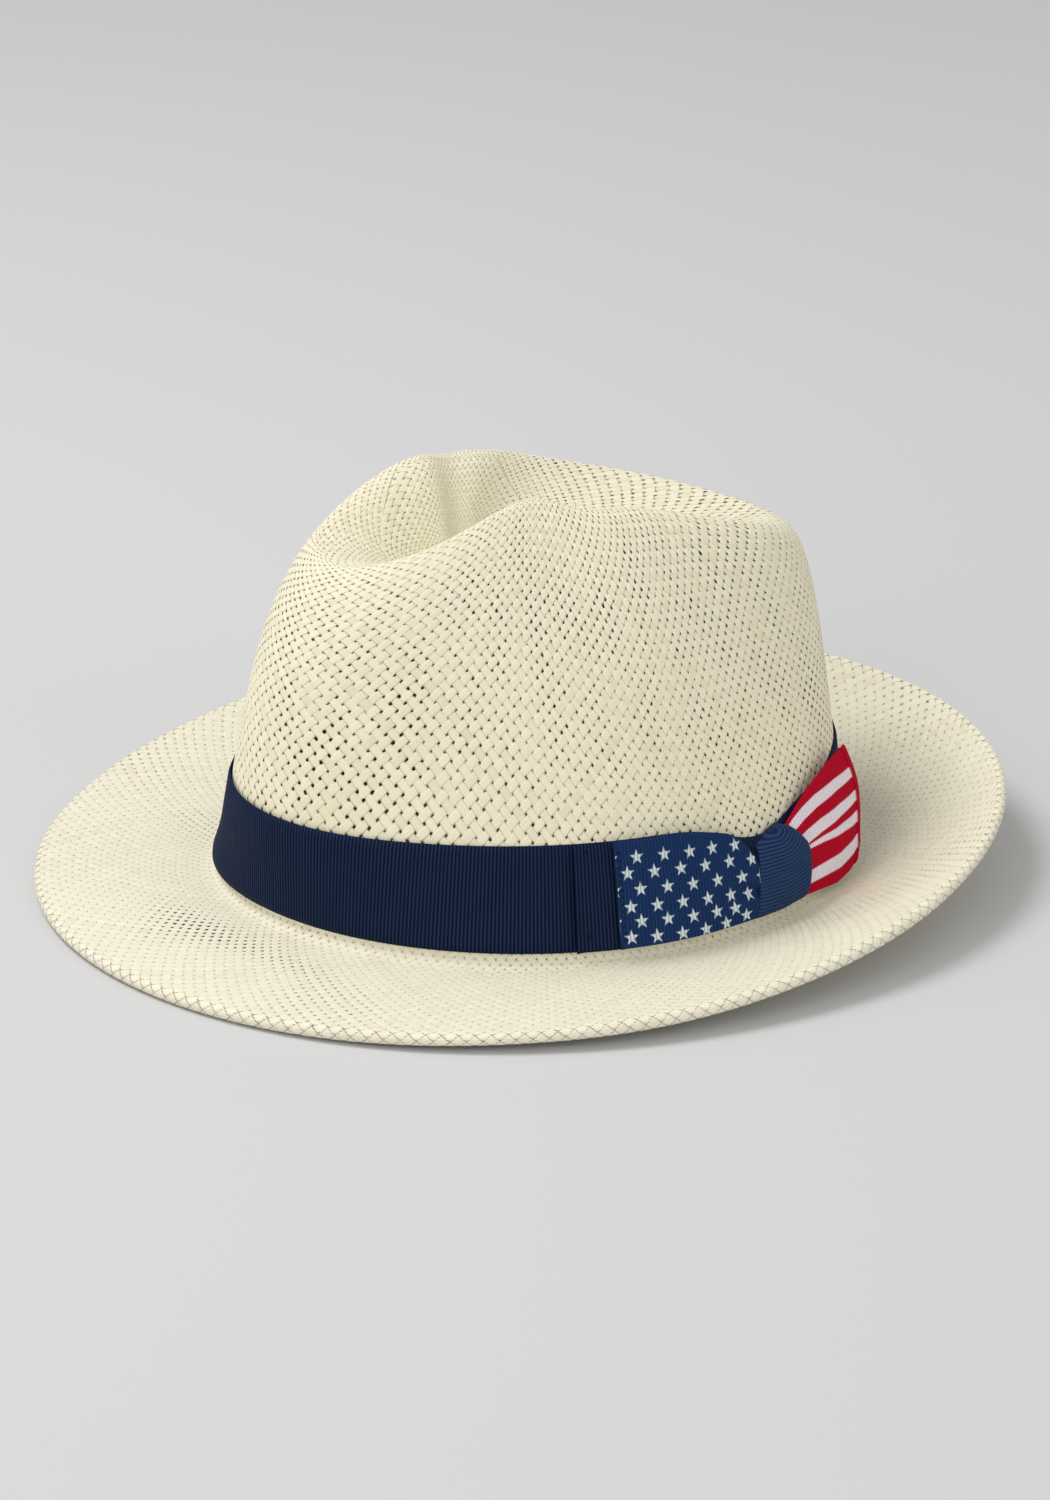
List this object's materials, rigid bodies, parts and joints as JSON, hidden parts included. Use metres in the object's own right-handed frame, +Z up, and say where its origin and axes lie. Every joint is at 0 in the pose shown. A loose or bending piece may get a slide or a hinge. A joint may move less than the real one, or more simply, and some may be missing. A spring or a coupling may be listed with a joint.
{
  "type": "straw fedora hat",
  "caption": "Woven straw fedora with a teardrop crown, a snap brim turned up at the back, a navy grosgrain band and a folded side bow with star and stripe ribbon.",
  "frame": {"origin": "middle of the hat's footprint on the surface it stands on", "axes": "+Z up, the front of the hat faces -Y, +X is the wearer's left and carries the bow"},
  "size_m": [0.2894, 0.3071, 0.1295],
  "materials": {
    "straw": "matte",
    "wire": "satin",
    "ferrule": "satin",
    "straw_thread": "matte",
    "navy_thread": "matte",
    "navy_grosgrain": "soft sheen",
    "star_grosgrain": "soft sheen",
    "stripe_grosgrain": "soft sheen",
    "sweatband_cloth": "matte",
    "label_cloth": "matte"
  },
  "bodies": {
    "hat": {"straw_body": "straw", "brim_wire_rear": "wire", "wire_ferrule": "ferrule", "hem_stitches_rear": "straw_thread", "hatband": "navy_grosgrain", "bow_plain_ribbon": "navy_grosgrain", "bow_star_ribbon": "star_grosgrain", "bow_knot": "navy_grosgrain", "bow_stripe_tail": "stripe_grosgrain", "bow_tack_stitches": "navy_thread", "sweatband": "sweatband_cloth", "sweatband_piping": "sweatband_cloth", "sweatband_stitches": "straw_thread", "sweatband_back_seam": "sweatband_cloth", "size_label": "label_cloth"},
    "front_brim": {"brim_front": "straw", "brim_wire_front": "wire", "hem_stitches_front": "straw_thread"}
  },
  "joints": [
    {"name": "front_brim_snap", "type": "hinge", "parent": "hat", "child": "front_brim", "pos_m": [0, -0.104, 0.0045], "axis": [-1, 0, 0], "range_deg": [0, 25]}
  ]
}
